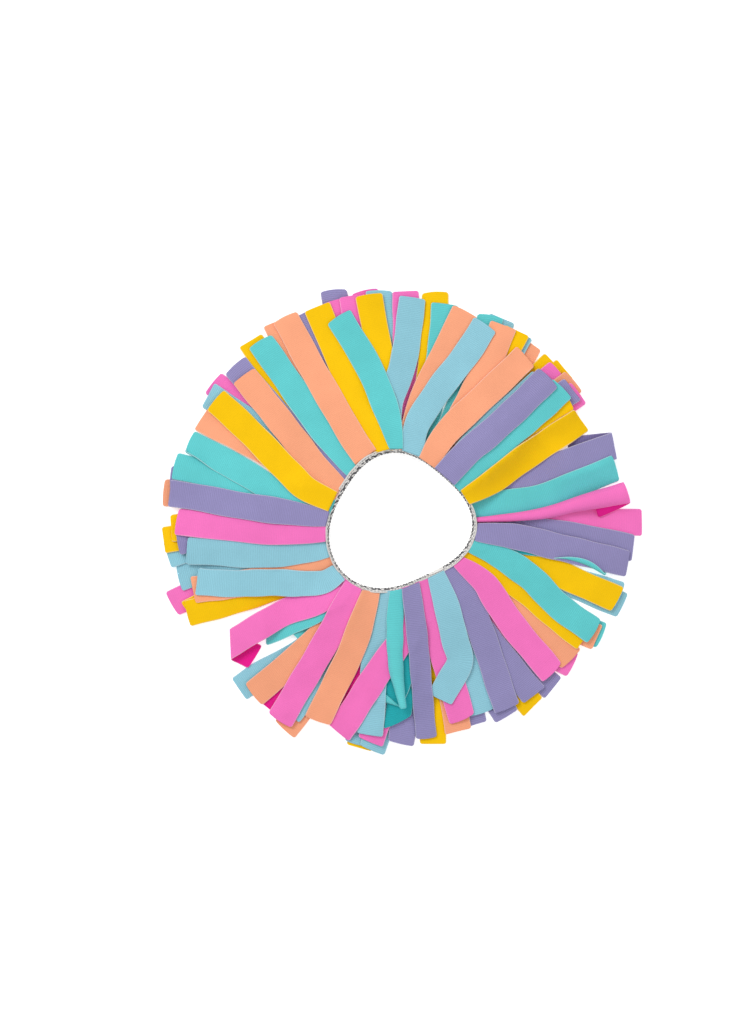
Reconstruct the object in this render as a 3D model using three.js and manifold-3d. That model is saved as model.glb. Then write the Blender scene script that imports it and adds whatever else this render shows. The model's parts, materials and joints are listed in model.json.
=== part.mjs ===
// A soft ring collar with a long fringe: a sewn band around the neck opening, two
// joined rows of under strips, and a pile of separate knit-fabric strips on top.
// Millimetres, +Z up, lying flat on a table. The origin is the bottom centre of the
// whole object. Bearings are degrees clockwise from +Y, seen from above.

import * as THREE from 'three';
import { mergeVertices } from 'three/addons/utils/BufferGeometryUtils.js';
import Module from 'manifold-3d';

const wasm = await Module();
wasm.setup();

// ---- driving dimensions ----

const GAP = 0.35;                 // air left between neighbouring fabric faces
const STRIP_WIDTH = 25.4;         // strips are cut one inch wide
const FABRIC = 1.2;               // thickness of the knit fabric
const BAND_HEIGHT = 16;
const TAPE = 1.2;                 // thickness of each of the band's two tapes
const FLARE = 4.5;                // most that the band's top edge leans outwards
const FLARE_BEARING = 220;        // where it leans most
const NECK_RADIUS = 65;           // mean radius of the neck opening
// The band lies as a rounded triangle: [waves per turn, height, bearing of a crest].
const NECK_WAVES = [
  [1, 2.8, 262],
  [2, 3.6, 64.5],
  [3, 4.6, 344.5],
  [4, 1.0, 358],
];
const RING_STEPS = 72;
const UNDER_HEADING = 9;          // width of the strip that joins a row of under strips
const UNDER_FABRIC = 1.3;         // thickness of an under row
const UNDER_ROWS = [0, 1.7];      // height of each under row's lower face
const ROOT_PLEAT = 0.62;          // share of a strip's width left where it is sewn on
const PLEAT_END = 0.22;           // share of a strip's length over which it opens out
const STRIP_STEPS = 8;
const BEND_START = 0.36;          // how far out a strip keeps the band's own direction
const CELL = 2;                   // cell of the height map that the strips are laid on

const COLOURS = {
  pink: '#f777c4',
  yellow: '#fcc600',
  turquoise: '#66d2d2',
  light_blue: '#98c4d8',
  purple: '#a598c9',
  peach: '#fdaa80',
};
const BAND_WHITE = '#e9e6e2';
const THREAD_GREY = '#6f6f70';

// Strips on top, in the order they lie, lowest first:
// [colour, bearing at the band, bearing of the tip, reach of the tip, points between].
const TOP_STRIPS = [
  ['turquoise', 280, 284, 224],
  ['turquoise', 283, 290.5, 217],
  ['peach', 295, 297.5, 216],
  ['purple', 309, 313.4, 219],
  ['yellow', 353, 352, 220],
  ['light_blue', 351, 3, 216],
  ['peach', 4, 17, 212],
  ['purple', 75, 69.5, 217],
  ['pink', 90, 90.2, 232],
  ['purple', 92.5, 96.3, 225],
  ['yellow', 103, 109.6, 221],
  ['turquoise', 102, 104, 219],
  ['peach', 121, 128.8, 210],
  ['yellow', 115, 122.4, 209],
  ['purple', 139, 142.3, 210],
  ['light_blue', 149, 157, 199],
  ['light_blue', 193, 188.3, 206],
  ['pink', 180, 196, 211],
  ['peach', 213, 220.5, 218],
  ['turquoise', 222, 230.5, 167],
  ['yellow', 239, 246.8, 223],
  ['peach', 241, 252, 210],
  ['yellow', 346, 338.7, 222],
  ['light_blue', 9, 23, 206],
  ['turquoise', 356, 343.3, 206],
  ['peach', 24, 37, 199],
  ['turquoise', 55, 50.3, 200],
  ['purple', 43.5, 45.5, 197],
  ['turquoise', 81, 76, 213],
  ['yellow', 69, 60.5, 199],
  ['pink', 87, 82.5, 221],
  ['turquoise', 110, 119.5, 213],
  ['purple', 98, 100.4, 222],
  ['purple', 134, 150.2, 206],
  ['pink', 123, 135, 205],
  ['pink', 159, 163.3, 198],
  ['light_blue', 146, 167, 175, [[152, 98], [155.5, 134], [160, 153]]],
  ['turquoise', 184, 179.6, 178],
  ['purple', 172, 173.4, 209],
  ['pink', 224, 233.5, 200],
  ['pink', 217.5, 211.4, 223],
  ['peach', 204, 202.7, 207],
  ['light_blue', 249.5, 262.3, 207],
  ['light_blue', 231, 254.5, 204],
  ['pink', 261.5, 270, 215],
  ['purple', 272, 277, 224],
  ['peach', 300, 313, 206],
  ['yellow', 286, 303.7, 213],
  ['turquoise', 316.5, 322, 220],
  ['peach', 332, 330.4, 226],
];

// Under strips, joined quarter by quarter at their roots: [bearing of the tip, reach].
const UNDER_TIPS = {
  under_fringe_front_right: {
    row: 0,
    from: 92,
    to: 176,
    tips: [[111, 228], [119.8, 222], [129.7, 215], [137.5, 217], [144.3, 219],
      [151.5, 213], [165.5, 209], [171.8, 216]],
  },
  under_fringe_front_left: {
    row: 1,
    from: 182,
    to: 264,
    tips: [[187.6, 224], [191.5, 222], [209.2, 229], [214.5, 219], [223.8, 224],
      [251, 235], [255.7, 220], [261, 227]],
  },
  under_fringe_back_left: {
    row: 0,
    from: 268,
    to: 348,
    tips: [[266.5, 229], [277, 230], [304, 226], [313, 219], [320.4, 227], [328, 226],
      [343.7, 232], [351.2, 225]],
  },
  under_fringe_back_right: {
    row: 1,
    from: 354,
    to: 84,
    tips: [[1, 222], [9, 223], [24.5, 217], [31.5, 217], [36.5, 213], [43.8, 212],
      [48, 216], [54, 211]],
  },
};

// ---- the neck outline ----

const radians = THREE.MathUtils.degToRad;

function polar(bearing, radius) {
  const angle = radians(bearing);
  return new THREE.Vector2(Math.sin(angle) * radius, Math.cos(angle) * radius);
}

function bearingOf(point) {
  return THREE.MathUtils.radToDeg(Math.atan2(point.x, point.y));
}

function neckRadius(bearing) {
  return NECK_WAVES.reduce(
    (sum, [turns, height, crest]) => sum + height * Math.cos(turns * radians(bearing - crest)),
    NECK_RADIUS,
  );
}

function neckPoint(bearing) {
  return polar(bearing, neckRadius(bearing));
}

function neckNormal(bearing) {
  const along = neckPoint(bearing + 1).sub(neckPoint(bearing - 1)).normalize();
  return new THREE.Vector2(-along.y, along.x);
}

// How far the band leans outwards at a share of its height.
function lean(bearing, share) {
  return FLARE * share * (0.6 + 0.4 * Math.cos(radians(bearing - FLARE_BEARING)));
}

// A point beside the band: outside its inner face by `out`, at height `z`.
function besideBand(bearing, out, z) {
  const distance = out + lean(bearing, z / BAND_HEIGHT);
  const place = neckPoint(bearing).addScaledVector(neckNormal(bearing), distance);
  return new THREE.Vector3(place.x, place.y, z);
}

// ---- shaping ----

function reshape(geometry, place) {
  const position = geometry.attributes.position;
  const point = new THREE.Vector3();
  for (let i = 0; i < position.count; i += 1) {
    point.fromBufferAttribute(position, i);
    const moved = place(point);
    position.setXYZ(i, moved.x, moved.y, moved.z);
  }
  geometry.computeVertexNormals();
  return geometry;
}

function fabricMesh(name, geometry, color, roughness = 0.9) {
  const material = new THREE.MeshStandardMaterial({ color, roughness, metalness: 0 });
  const mesh = new THREE.Mesh(geometry, material);
  mesh.name = name;
  return mesh;
}

// ---- band ----

// A closed loop that follows the band: `out` is the distance outside the inner face.
function bandLoop(out, thickness, low, height) {
  const hub = 100;
  const profile = [
    new THREE.Vector2(hub + out, low),
    new THREE.Vector2(hub + out, low + height),
    new THREE.Vector2(hub + out + thickness, low + height),
    new THREE.Vector2(hub + out + thickness, low),
    new THREE.Vector2(hub + out, low),
  ];
  const loop = new THREE.LatheGeometry(profile, RING_STEPS);
  return reshape(loop, (point) => {
    const bearing = bearingOf(new THREE.Vector2(point.x, point.z));
    const distance = Math.hypot(point.x, point.z) - hub;
    return besideBand(bearing, distance, point.y);
  });
}

// The short patch inside the band that covers the join of its two ends.
function bandLap(from, to, low, height) {
  const patch = new THREE.BoxGeometry(1, 1, 1, 6, 1, 1);
  return reshape(patch, (point) => {
    const bearing = from + (point.x + 0.5) * (to - from);
    const out = -GAP - TAPE * (0.5 - point.y);
    return besideBand(bearing, out, low + (point.z + 0.5) * height);
  });
}

function band() {
  const group = new THREE.Group();
  const threadSize = 0.6;
  const threadInset = 1.4;
  group.add(
    fabricMesh('band_tape', bandLoop(0, TAPE, 0, BAND_HEIGHT), BAND_WHITE),
    fabricMesh('band_backing', bandLoop(TAPE + GAP, TAPE, 0, BAND_HEIGHT), BAND_WHITE),
    fabricMesh('band_lap', bandLap(137, 152, 3, 10), BAND_WHITE),
  );
  const threads = { seam_thread_lower: threadInset, seam_thread_upper: BAND_HEIGHT - threadInset };
  for (const [name, z] of Object.entries(threads)) {
    const loop = bandLoop(-GAP - threadSize, threadSize, z - threadSize / 2, threadSize);
    group.add(fabricMesh(name, loop, THREAD_GREY, 0.7));
  }
  return group;
}

// Where fabric sewn to the outside of the band may begin.
const OUTSIDE_BAND = 2 * TAPE + 2 * GAP;

// ---- under rows ----

function solidOf(geometry) {
  const bare = geometry.clone();
  bare.deleteAttribute('normal');
  bare.deleteAttribute('uv');
  const merged = mergeVertices(bare, 1e-4);
  return new wasm.Manifold(new wasm.Mesh({
    numProp: 3,
    vertProperties: new Float32Array(merged.attributes.position.array),
    triVerts: new Uint32Array(merged.index.array),
  }));
}

function geometryOf(solid) {
  const mesh = solid.getMesh();
  const geometry = new THREE.BufferGeometry();
  geometry.setAttribute('position', new THREE.BufferAttribute(mesh.vertProperties, 3));
  geometry.setIndex(new THREE.BufferAttribute(mesh.triVerts, 1));
  return geometry;
}

// The curved heading that joins one quarter's strips along the band.
function underHeading(from, to, z) {
  const bar = new THREE.BoxGeometry(1, 1, 1, 18, 1, 1);
  const start = OUTSIDE_BAND + lean(FLARE_BEARING, (z + UNDER_FABRIC) / BAND_HEIGHT);
  return reshape(bar, (point) => {
    const bearing = from + (point.x + 0.5) * (to - from);
    const out = start + (point.y + 0.5) * UNDER_HEADING;
    const place = neckPoint(bearing).addScaledVector(neckNormal(bearing), out);
    return new THREE.Vector3(place.x, place.y, z + (point.z + 0.5) * UNDER_FABRIC);
  });
}

function underStrip(bearing, reach, z) {
  const root = neckRadius(bearing) + OUTSIDE_BAND + UNDER_HEADING * 0.7;
  const strip = new THREE.BoxGeometry(STRIP_WIDTH, reach - root, UNDER_FABRIC);
  strip.translate(0, (reach + root) / 2, z + UNDER_FABRIC / 2);
  strip.rotateZ(-radians(bearing));
  return strip;
}

function underRow(name, { row, from, to, tips }) {
  const z = UNDER_ROWS[row];
  const end = to < from ? to + 360 : to;
  let joined = solidOf(underHeading(from, end, z));
  for (const [bearing, reach] of tips) {
    joined = joined.add(solidOf(underStrip(bearing, reach, z)));
  }
  return fabricMesh(name, geometryOf(joined), COLOURS.light_blue);
}

// ---- the pile of top strips ----

// A coarse map of how high the fabric laid so far reaches.
class Pile {
  constructor(floor) {
    this.tops = new Map();
    this.floor = floor;
  }

  // Visit every cell that a four-cornered piece of fabric could touch.
  visit(corners, act) {
    const margin = CELL * Math.SQRT1_2;
    const box = new THREE.Box2().setFromPoints(corners).expandByScalar(margin);
    const middle = new THREE.Vector2();
    corners.forEach((corner) => middle.addScaledVector(corner, 1 / corners.length));
    const low = box.min.clone().divideScalar(CELL).floor();
    const high = box.max.clone().divideScalar(CELL).ceil();
    const cell = new THREE.Vector2();
    for (let i = low.x; i <= high.x; i += 1) {
      for (let j = low.y; j <= high.y; j += 1) {
        cell.set(i * CELL, j * CELL);
        if (Pile.touches(corners, middle, cell, margin)) {
          act(`${i},${j}`, cell);
        }
      }
    }
  }

  static touches(corners, middle, cell, margin) {
    return corners.every((corner, i) => {
      const along = corners[(i + 1) % corners.length].clone().sub(corner).normalize();
      const inward = new THREE.Vector2(-along.y, along.x);
      const side = Math.sign(inward.dot(middle.clone().sub(corner)));
      return side * inward.dot(cell.clone().sub(corner)) > -margin;
    });
  }

  highestUnder(corners) {
    let highest = this.floor;
    this.visit(corners, (key) => {
      highest = Math.max(highest, this.tops.get(key) ?? this.floor);
    });
    return highest;
  }

  // Raise the map to a sloping face that runs from `start` to `end`.
  raise(corners, start, end) {
    const run = end.clone().sub(start);
    const length = Math.hypot(run.x, run.y);
    const slack = Math.abs(run.z / length) * CELL;
    this.visit(corners, (key, cell) => {
      const ahead = (cell.x - start.x) * run.x + (cell.y - start.y) * run.y;
      const share = THREE.MathUtils.clamp(ahead / length ** 2, 0, 1);
      const top = start.z + share * run.z + slack;
      this.tops.set(key, Math.max(top, this.tops.get(key) ?? this.floor));
    });
  }
}

// The centre line of a strip, seen from above.
function stripPath([, root, tip, reach, between]) {
  const start = neckPoint(root).addScaledVector(neckNormal(root), OUTSIDE_BAND);
  const end = polar(tip, reach);
  if (between) {
    const inner = between.map(([bearing, radius]) => polar(bearing, radius));
    return new THREE.SplineCurve([start, ...inner, end]);
  }
  const bend = start.clone().addScaledVector(neckNormal(root), BEND_START * start.distanceTo(end));
  return new THREE.QuadraticBezierCurve(start, bend, end);
}

// Stations along a strip: its centre, the direction across it and half its width.
function stations(row) {
  const path = stripPath(row);
  const list = [];
  for (let i = 0; i <= STRIP_STEPS; i += 1) {
    const share = i / STRIP_STEPS;
    const along = path.getTangentAt(share);
    const open = THREE.MathUtils.smoothstep(share, 0, PLEAT_END);
    list.push({
      centre: path.getPointAt(share),
      across: new THREE.Vector2(along.y, -along.x),
      half: (STRIP_WIDTH / 2) * THREE.MathUtils.lerp(ROOT_PLEAT, 1, open),
      z: 0,
    });
  }
  list[0].across = new THREE.Vector2(neckNormal(row[1]).y, -neckNormal(row[1]).x);
  return list;
}

function edge(station, side) {
  return station.centre.clone().addScaledVector(station.across, side * station.half);
}

function corners(a, b) {
  return [edge(a, -1), edge(a, 1), edge(b, 1), edge(b, -1)];
}

// Lay a strip on the pile: each station rests on what is under the cloth beside it.
function lay(list, pile) {
  const faces = list.slice(1).map((station, i) => corners(list[i], station));
  const beneath = faces.map((face) => pile.highestUnder(face) + GAP);
  list.forEach((station, i) => {
    station.z = Math.max(...beneath.slice(Math.max(i - 1, 0), i + 1));
  });
  faces.forEach((face, i) => {
    const [a, b] = [list[i], list[i + 1]];
    pile.raise(
      face,
      new THREE.Vector3(a.centre.x, a.centre.y, a.z + FABRIC),
      new THREE.Vector3(b.centre.x, b.centre.y, b.z + FABRIC),
    );
  });
}

// The root end leans outwards with the band behind it.
function seatRoot(list, root) {
  const outwards = lean(root, (list[0].z + FABRIC) / BAND_HEIGHT);
  list[0].centre.addScaledVector(neckNormal(root), outwards);
}

function stripGeometry(list) {
  const ribbon = new THREE.BoxGeometry(1, 1, 1, STRIP_STEPS, 1, 1);
  return reshape(ribbon, (point) => {
    const station = list[Math.round((point.x + 0.5) * STRIP_STEPS)];
    const place = edge(station, -2 * point.y);
    return new THREE.Vector3(place.x, place.y, station.z + (point.z + 0.5) * FABRIC);
  });
}

function topStrips() {
  const group = new THREE.Group();
  const pile = new Pile(Math.max(...UNDER_ROWS) + UNDER_FABRIC);
  const count = {};
  for (const row of TOP_STRIPS) {
    const [colour, root] = row;
    const list = stations(row);
    lay(list, pile);
    seatRoot(list, root);
    count[colour] = (count[colour] ?? 0) + 1;
    const name = `${colour}_strip_${count[colour]}`;
    group.add(fabricMesh(name, stripGeometry(list), COLOURS[colour]));
  }
  return group;
}

// ---- assembly ----

const collar = new THREE.Group();
collar.add(band());
for (const [name, rows] of Object.entries(UNDER_TIPS)) {
  collar.add(underRow(name, rows));
}
collar.add(topStrips());

// Stand the whole object on its bottom centre.
const extent = new THREE.Box3().setFromObject(collar, true);
const middle = extent.getCenter(new THREE.Vector3());
collar.position.set(-middle.x, -middle.y, -extent.min.z);

export default collar;
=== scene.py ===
"""A soft ring collar with a long fringe of knit strips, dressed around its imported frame.

Tables and shapes are in millimetres, and meshes in metres. Bearings are degrees
clockwise from +Y, seen from above, about the middle of the neck opening.
"""

import json
import math
import random

import bpy
import numpy as np
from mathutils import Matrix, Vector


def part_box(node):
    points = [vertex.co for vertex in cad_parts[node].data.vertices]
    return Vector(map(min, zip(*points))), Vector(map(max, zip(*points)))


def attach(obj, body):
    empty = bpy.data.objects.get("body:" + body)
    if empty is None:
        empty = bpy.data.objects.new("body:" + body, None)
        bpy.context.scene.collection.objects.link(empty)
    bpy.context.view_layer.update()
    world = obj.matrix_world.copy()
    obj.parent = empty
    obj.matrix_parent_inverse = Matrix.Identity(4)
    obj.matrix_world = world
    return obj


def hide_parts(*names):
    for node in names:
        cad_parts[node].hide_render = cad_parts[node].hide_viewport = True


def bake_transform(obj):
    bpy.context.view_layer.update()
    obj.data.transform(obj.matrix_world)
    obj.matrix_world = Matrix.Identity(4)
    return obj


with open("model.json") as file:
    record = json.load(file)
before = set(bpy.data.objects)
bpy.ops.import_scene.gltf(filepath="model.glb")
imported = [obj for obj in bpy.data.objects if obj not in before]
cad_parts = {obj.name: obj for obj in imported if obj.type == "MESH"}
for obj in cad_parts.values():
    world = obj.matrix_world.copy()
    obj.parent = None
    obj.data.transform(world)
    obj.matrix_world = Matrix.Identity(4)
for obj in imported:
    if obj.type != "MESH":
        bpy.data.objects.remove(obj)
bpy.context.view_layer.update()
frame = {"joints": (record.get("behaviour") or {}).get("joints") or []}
draw = random.Random()

# ---- driving dimensions ----

MM = 0.001
STRIP_WIDTH = 25.4
FABRIC = 0.9                # thickness of the knit fabric
PACKED_FABRIC = 1.2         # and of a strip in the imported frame
AIR = 0.1                   # least air between two layers
TAPE = 0.6                  # thickness of each band tape
PACKED_TAPE = 1.2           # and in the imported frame
TAPE_GAP = 0.1
BAND_HEIGHT = 16
PACKED_FLARE = 4.5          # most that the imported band's top edge leans outwards
PACKED_FLARE_BEARING = 220
PACKED_FLARE_CHANGE = 0.4   # half its change round the neck, as a share of the flare
# How far the woven band's top edge leans outwards: (bearing, lean).
LEANS = [(0, 2.2), (22, 0.5), (62, 0.4), (82, 2.4), (115, 2.6), (140, 3.0), (163, 0.8),
         (192, 2.9), (215, 2.6), (238, 0.9), (262, 1.4), (285, 4.2), (335, 4.4)]
NECK_RADIUS = 65
NECK_WAVES = [(1, 2.8, 262), (2, 3.6, 64.5), (3, 4.6, 344.5), (4, 1.0, 358)]
OUTSIDE_BAND = 2 * (TAPE + TAPE_GAP)    # from the band's inner face to clear of its backing
BEND_START = 0.36           # share of its run at which a plain strip turns towards its tip
ROOT_SHARE = 0.62           # share of a strip's width that is left at its seam
ROOT_TURN = 16              # how far out its width turns from the seam's direction to its own
ROOT_FALL = 46              # how far out a strip needs to come down from its seam
PLEAT_END = 0.42            # share of its length over which it opens out
CORNER = 2.2                # radius of a strip's corners
CORNER_STEPS = np.array([0, 0.36, 0.64, 0.84, 0.96, 1])
STATION_STEP = 1.5
CURVE_STEPS = 60            # points between two given points of a strip's line
LINE_STEPS = 200            # points on a line that has only its two ends
TAIL_AIM = 8                # the tail that is folded back runs on from this many last points
TAIL_STEPS = 20
FOLD_RISE = 30              # how far before a folded tail's end the cloth rises over it
ROLL_BLUNTNESS = 0.6        # below 1, a roll swells quickly at its two ends
RAISED_EDGE = 0.8           # a rolled edge that rises past this doesn't lift what lies over it
DRAPE_PASSES = 45           # how often the cloth is smoothed: more makes it stiffer
UNDER_START = OUTSIDE_BAND + 4
UNDER_SPREAD = 2            # how much the under strips' seams vary, in degrees and in depth
UNDER_ROOT_Z = 8            # height at which the under strips leave the band
HEADING_WIDTH = 10
HEADING_CLEARANCE = 0.8
HEADING_Z = 0.2             # height of a heading's underside
HEADING_STATIONS = 70
OVER_BAND_OUT = -0.7        # where a strip that is sewn over the band's top edge begins
OVER_BAND_Z = BAND_HEIGHT + 0.5

# The woven band's pieces: where each begins and ends in height, and round the neck.
TAPE_HEIGHTS = (0.3, BAND_HEIGHT - 0.1)
BACKING_HEIGHTS = (0.3, BAND_HEIGHT - 0.3)
LAP_HEIGHTS = (3, 13)
RING_BEARINGS = np.arange(0, 360, 1.5)
LAP_BEARINGS = np.linspace(137, 152, 30)
EDGE_RIPPLE = 0.12          # how far the top edge ripples in and out
EDGE_RIPPLE_TURNS = 23
EDGE_SWELL = 0.15           # and up and down
EDGE_SWELL_TURNS = 17

STITCH_PITCH = 3.0
STITCH_LENGTH = 2.3
STITCH_SIZE = 0.5
STITCH_GAP = 0.05           # between a stitch and the band's inner face
STITCH_DIVE = 0.25          # how far a stitch's ends go into the tape
STITCH_SLOPE = 0.12         # how far a stitch's ends stand above and below its middle
STITCH_SIDES = 6
STITCH_STATIONS = np.array([-1, -0.8, -0.4, 0, 0.4, 0.8, 1])
STITCH_END_SIZE = 0.35      # share of a stitch's thickness that is left at its ends
STITCH_MARGIN = 1.4         # from a row of stitches to the band's edge

# How the cloth varies from strip to strip. A pair is the least and the most.
CUT_SLANT = 7               # most that a cut end slopes, in degrees
CUT_BULGE = (-0.2, 1.3)     # how far the middle of a cut end stands out
CUT_SHARE = 0.2             # share of the length that follows the cut end's slope
SWAY = 0.7                  # how far a strip drifts to either side
SWAY_TURNS = 1.3
RAGGED_EDGE = 0.25          # how far its edges wander
EDGE_TURNS = (2, 5)
EDGE_LAG = 0.2              # how far each edge's wander is out of step with the middle's
CROWN = (0.1, 0.45)         # how far its middle stands above its edges
LIFTED_TIP = (0.1, 1.0)
TIP_SHARE = 0.3             # share of the length that lifts with the tip
BILLOW = (0.1, 0.35)        # how far it stands off the pile in long waves
BILLOW_TURNS = (1, 2.2)
TILT = 0.15                 # how far one edge stands above the other
EDGE_WAVE = 0.12            # how far its edges wave up and down
PATTERN_SPAN = 4000         # each strip is cut from a drawn place on this much cloth

# Columns across a strip, from its counter-clockwise edge to its clockwise edge.
COLUMNS = np.array([-1, -0.95, -0.8, -0.6, -0.4, -0.2, 0, 0.2, 0.4, 0.6, 0.8, 0.95, 1])
MIDDLE = len(COLUMNS) // 2
EDGE_ROUND = 0.6            # how far a cloth's edge bulges, in half thicknesses
END_THICKNESS = 0.5         # share of the thickness that is left at a cut end
# The cut's painted highlight shows this strongly across a whole end.
END_CUT = 0.9               # how plainly the cut shows across a whole end

# Each fabric's colour on its face and on its reverse, and how strongly its ribs show. Each reverse
# colour is darker and more saturated than its face: painted shade for the insides of folds and
# curls and for undersides that show.
COLOURS = {
    "pink": ((0.95, 0.185, 0.55), (0.82, 0.01, 0.28), 0.05),
    "yellow": ((0.98, 0.585, 0.0), (0.90, 0.45, 0.0), 0.04),
    "turquoise": ((0.13, 0.63, 0.645), (0.02, 0.42, 0.46), 0.11),
    "light_blue": ((0.29, 0.60, 0.715), (0.20, 0.44, 0.57), 0.13),
    "purple": ((0.305, 0.275, 0.52), (0.22, 0.18, 0.40), 0.17),
    "peach": ((0.98, 0.40, 0.225), (0.92, 0.32, 0.15), 0.06),
}
TAPE_WHITE = (0.80, 0.78, 0.75)
PRINT_DARK = (0.035, 0.035, 0.045)
THREAD_GREY = (0.25, 0.25, 0.26)
FLOOR_WHITE = (0.96, 0.96, 0.96)

# Weaves and the band's print, in metres. A scale is the number of a noise's patches to a metre.
RIB_PITCH = 0.0017
RIB_BEND = 0.0012           # how far the ribs wander
RIB_BEND_SCALE = 70
WALE_PITCH = 0.0009
DYE_SCALE = 1.3
# Scale of the soft patches of painted shade that stand in for the strips' drape.
FOLD_SHADE_SCALE = 16
WEAR_SCALE = 60
KNIT_GRAIN_SCALE = 1000
KNIT_RELIEF = 0.00025
# The pale colour of a cut is a painted highlight of the lit cut edge.
CUT_PALENESS = 0.5          # share of white in the colour of a cut
TAPE_PITCH = 0.0006
TAPE_GRAIN_SCALE = 900
TAPE_RELIEF = 0.0001
THREAD_PITCH = 0.0005
THREAD_RELIEF = 0.00008
# The print's two sets of strokes: (slope, pitch, width).
STROKES = [(0.5, 0.0032, 0.0019), (-0.7, 0.0057, 0.0017)]
STROKE_WOBBLE = 0.006
STROKE_WOBBLE_SCALE = 220
PRINT_MIDDLE = 0.0056       # height of the print's middle, and how far it reaches from there
PRINT_REACH = 0.0044
PRINT_BREAK_SCALE = 150
PRINT_BREAK = 0.37          # noise under this leaves a gap in the strokes
PRINT_STRENGTH = 0.97

# The stage, in metres. Each light is (name, place, width, power).
FLOOR_REACH = 20.0
FLOOR_GLOW = 0.45
WORLD_STRENGTH = 0.62
PANELS = [
    ("key_panel", (-0.9, 1.0, 1.5), 0.8, 15),
    ("fill_panel", (1.1, -0.6, 1.6), 1.4, 5),
]
CAMERA_HEIGHT = 1.607
CAMERA_LENS = 59
CAMERA_SENSOR = 36
VIEW_OFFSET = np.array([-24.9, 13.0])   # millimetres from the neck's middle to the view's
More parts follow.
